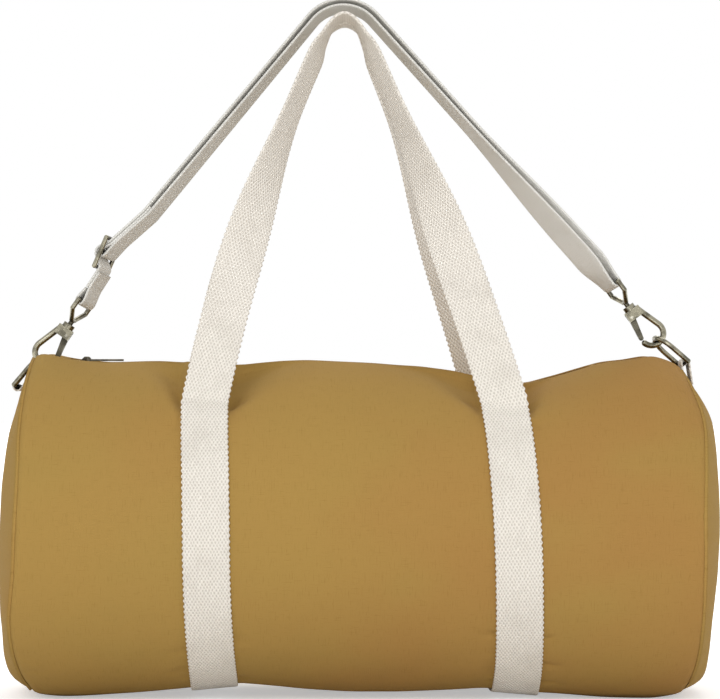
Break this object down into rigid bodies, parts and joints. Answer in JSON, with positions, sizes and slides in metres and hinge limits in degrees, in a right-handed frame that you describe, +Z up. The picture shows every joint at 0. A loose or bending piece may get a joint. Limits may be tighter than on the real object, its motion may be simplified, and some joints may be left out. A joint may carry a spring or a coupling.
{
  "type": "barrel bag",
  "caption": "Canvas barrel bag with webbing handles, a zipped top and an adjustable shoulder strap on swivel snap hooks",
  "frame": {"origin": "middle of the underside, on the surface that the bag stands on", "axes": "+X along the barrel to the right, +Y across it from front to back, +Z up"},
  "size_m": [0.56, 0.2674, 0.5401],
  "materials": {
    "canvas": "matte plain-woven cotton canvas, ochre",
    "handle_webbing": "matte natural cotton webbing, coarse weave",
    "strap_webbing": "matte natural cotton webbing, greyer",
    "zip_tape": "matte zip tape with coil teeth",
    "antique_brass": "satin antique brass plating with dark recesses",
    "spring_steel": "plain spring steel"
  },
  "bodies": {
    "bag": {"barrel_panel": "canvas", "end_panel_left": "canvas", "end_panel_right": "canvas", "seam_binding_left": "canvas", "seam_binding_right": "canvas", "band_left": "handle_webbing", "band_right": "handle_webbing", "ring_tab_left": "handle_webbing", "ring_tab_right": "handle_webbing", "zip_facing_left": "canvas", "zip_facing_right": "canvas", "zip_chain_left": "zip_tape", "zip_chain_right": "zip_tape", "zip_stops": "antique_brass"},
    "mouth_front": {"mouth_facing_front": "canvas", "zip_chain_front": "zip_tape"},
    "mouth_back": {"mouth_facing_back": "canvas", "zip_chain_back": "zip_tape"},
    "zip_slider": {"zip_slider": "antique_brass"},
    "zip_puller": {"zip_puller": "antique_brass"},
    "handle_front": {"handle_front": "handle_webbing"},
    "handle_back": {"handle_back": "handle_webbing"},
    "d_ring_left": {"d_ring_left": "antique_brass"},
    "d_ring_right": {"d_ring_right": "antique_brass"},
    "strap": {"shoulder_strap": "strap_webbing", "strap_end_left": "strap_webbing", "strap_over_adjuster": "strap_webbing", "strap_under_adjuster": "strap_webbing", "hook_eye_left": "antique_brass", "hook_eye_right": "antique_brass"},
    "adjuster": {"strap_adjuster": "antique_brass", "strap_fold": "strap_webbing"},
    "hook_left": {"hook_body_left": "antique_brass", "gate_pin_left": "antique_brass", "gate_spring_left": "spring_steel"},
    "hook_right": {"hook_body_right": "antique_brass", "gate_pin_right": "antique_brass", "gate_spring_right": "spring_steel"},
    "gate_left": {"hook_gate_left": "antique_brass"},
    "gate_right": {"hook_gate_right": "antique_brass"}
  },
  "joints": [
    {"name": "mouth_front_open", "type": "hinge", "parent": "bag", "child": "mouth_front", "pos_m": [0, -0.031, 0.256], "axis": [1, 0, 0], "range_deg": [0, 100]},
    {"name": "mouth_back_open", "type": "hinge", "parent": "bag", "child": "mouth_back", "pos_m": [0, 0.031, 0.256], "axis": [1, 0, 0], "range_deg": [-100, 0]},
    {"name": "zip_slide", "type": "slide", "parent": "bag", "child": "zip_slider", "axis": [1, 0, 0], "range_m": [0, 0.411]},
    {"name": "puller_swing", "type": "hinge", "parent": "zip_slider", "child": "zip_puller", "pos_m": [-0.2125, 0, 0.2594], "axis": [0, -1, 0], "range_deg": [0, 100]},
    {"name": "handle_front_swing", "type": "hinge", "parent": "bag", "child": "handle_front", "pos_m": [0, -0.09248, 0.22698], "axis": [1, 0, 0], "range_deg": [0, 140]},
    {"name": "handle_back_swing", "type": "hinge", "parent": "bag", "child": "handle_back", "pos_m": [0, 0.09248, 0.22698], "axis": [-1, 0, 0], "range_deg": [0, 140]},
    {"name": "ring_left_swing", "type": "hinge", "parent": "bag", "child": "d_ring_left", "pos_m": [-0.2665, 0, 0.2386], "axis": [0.133, 0.9848, -0.1116], "range_deg": [-2, 0]},
    {"name": "ring_right_swing", "type": "hinge", "parent": "bag", "child": "d_ring_right", "pos_m": [0.2531, 0, 0.2566], "axis": [-0.1139, 0.9848, -0.1311], "range_deg": [0, 2]},
    {"name": "strap_swing", "type": "hinge", "parent": "bag", "child": "strap", "pos_m": [0.23324, 0, 0.27249], "axis": [0.9995, 0, 0.0306], "range_deg": [-55, 35]},
    {"name": "adjuster_slide", "type": "slide", "parent": "strap", "child": "adjuster", "axis": [0.639, 0, 0.7692], "range_m": [0, 0.15], "deforming": ["strap_over_adjuster", "strap_under_adjuster"]},
    {"name": "hook_left_swivel", "type": "hinge", "parent": "strap", "child": "hook_left", "pos_m": [-0.21491, 0, 0.30404], "axis": [-0.5707, 0, -0.8211], "range_deg": [-5, 12]},
    {"name": "hook_right_swivel", "type": "hinge", "parent": "strap", "child": "hook_right", "pos_m": [0.19705, 0, 0.31788], "axis": [-0.592, 0, 0.8059], "range_deg": [-5, 12]},
    {"name": "gate_left_open", "type": "hinge", "parent": "hook_left", "child": "gate_left", "pos_m": [-0.22923, 0, 0.27818], "axis": [0, 1, 0], "range_deg": [0, 22], "stiffness_Nm_per_rad": 0.02},
    {"name": "gate_right_open", "type": "hinge", "parent": "hook_right", "child": "gate_right", "pos_m": [0.21204, 0, 0.29241], "axis": [0, -1, 0], "range_deg": [0, 22], "stiffness_Nm_per_rad": 0.02}
  ],
  "couplings": [
    {"joint": "mouth_back_open", "follows": "mouth_front_open", "ratio": -1}
  ]
}
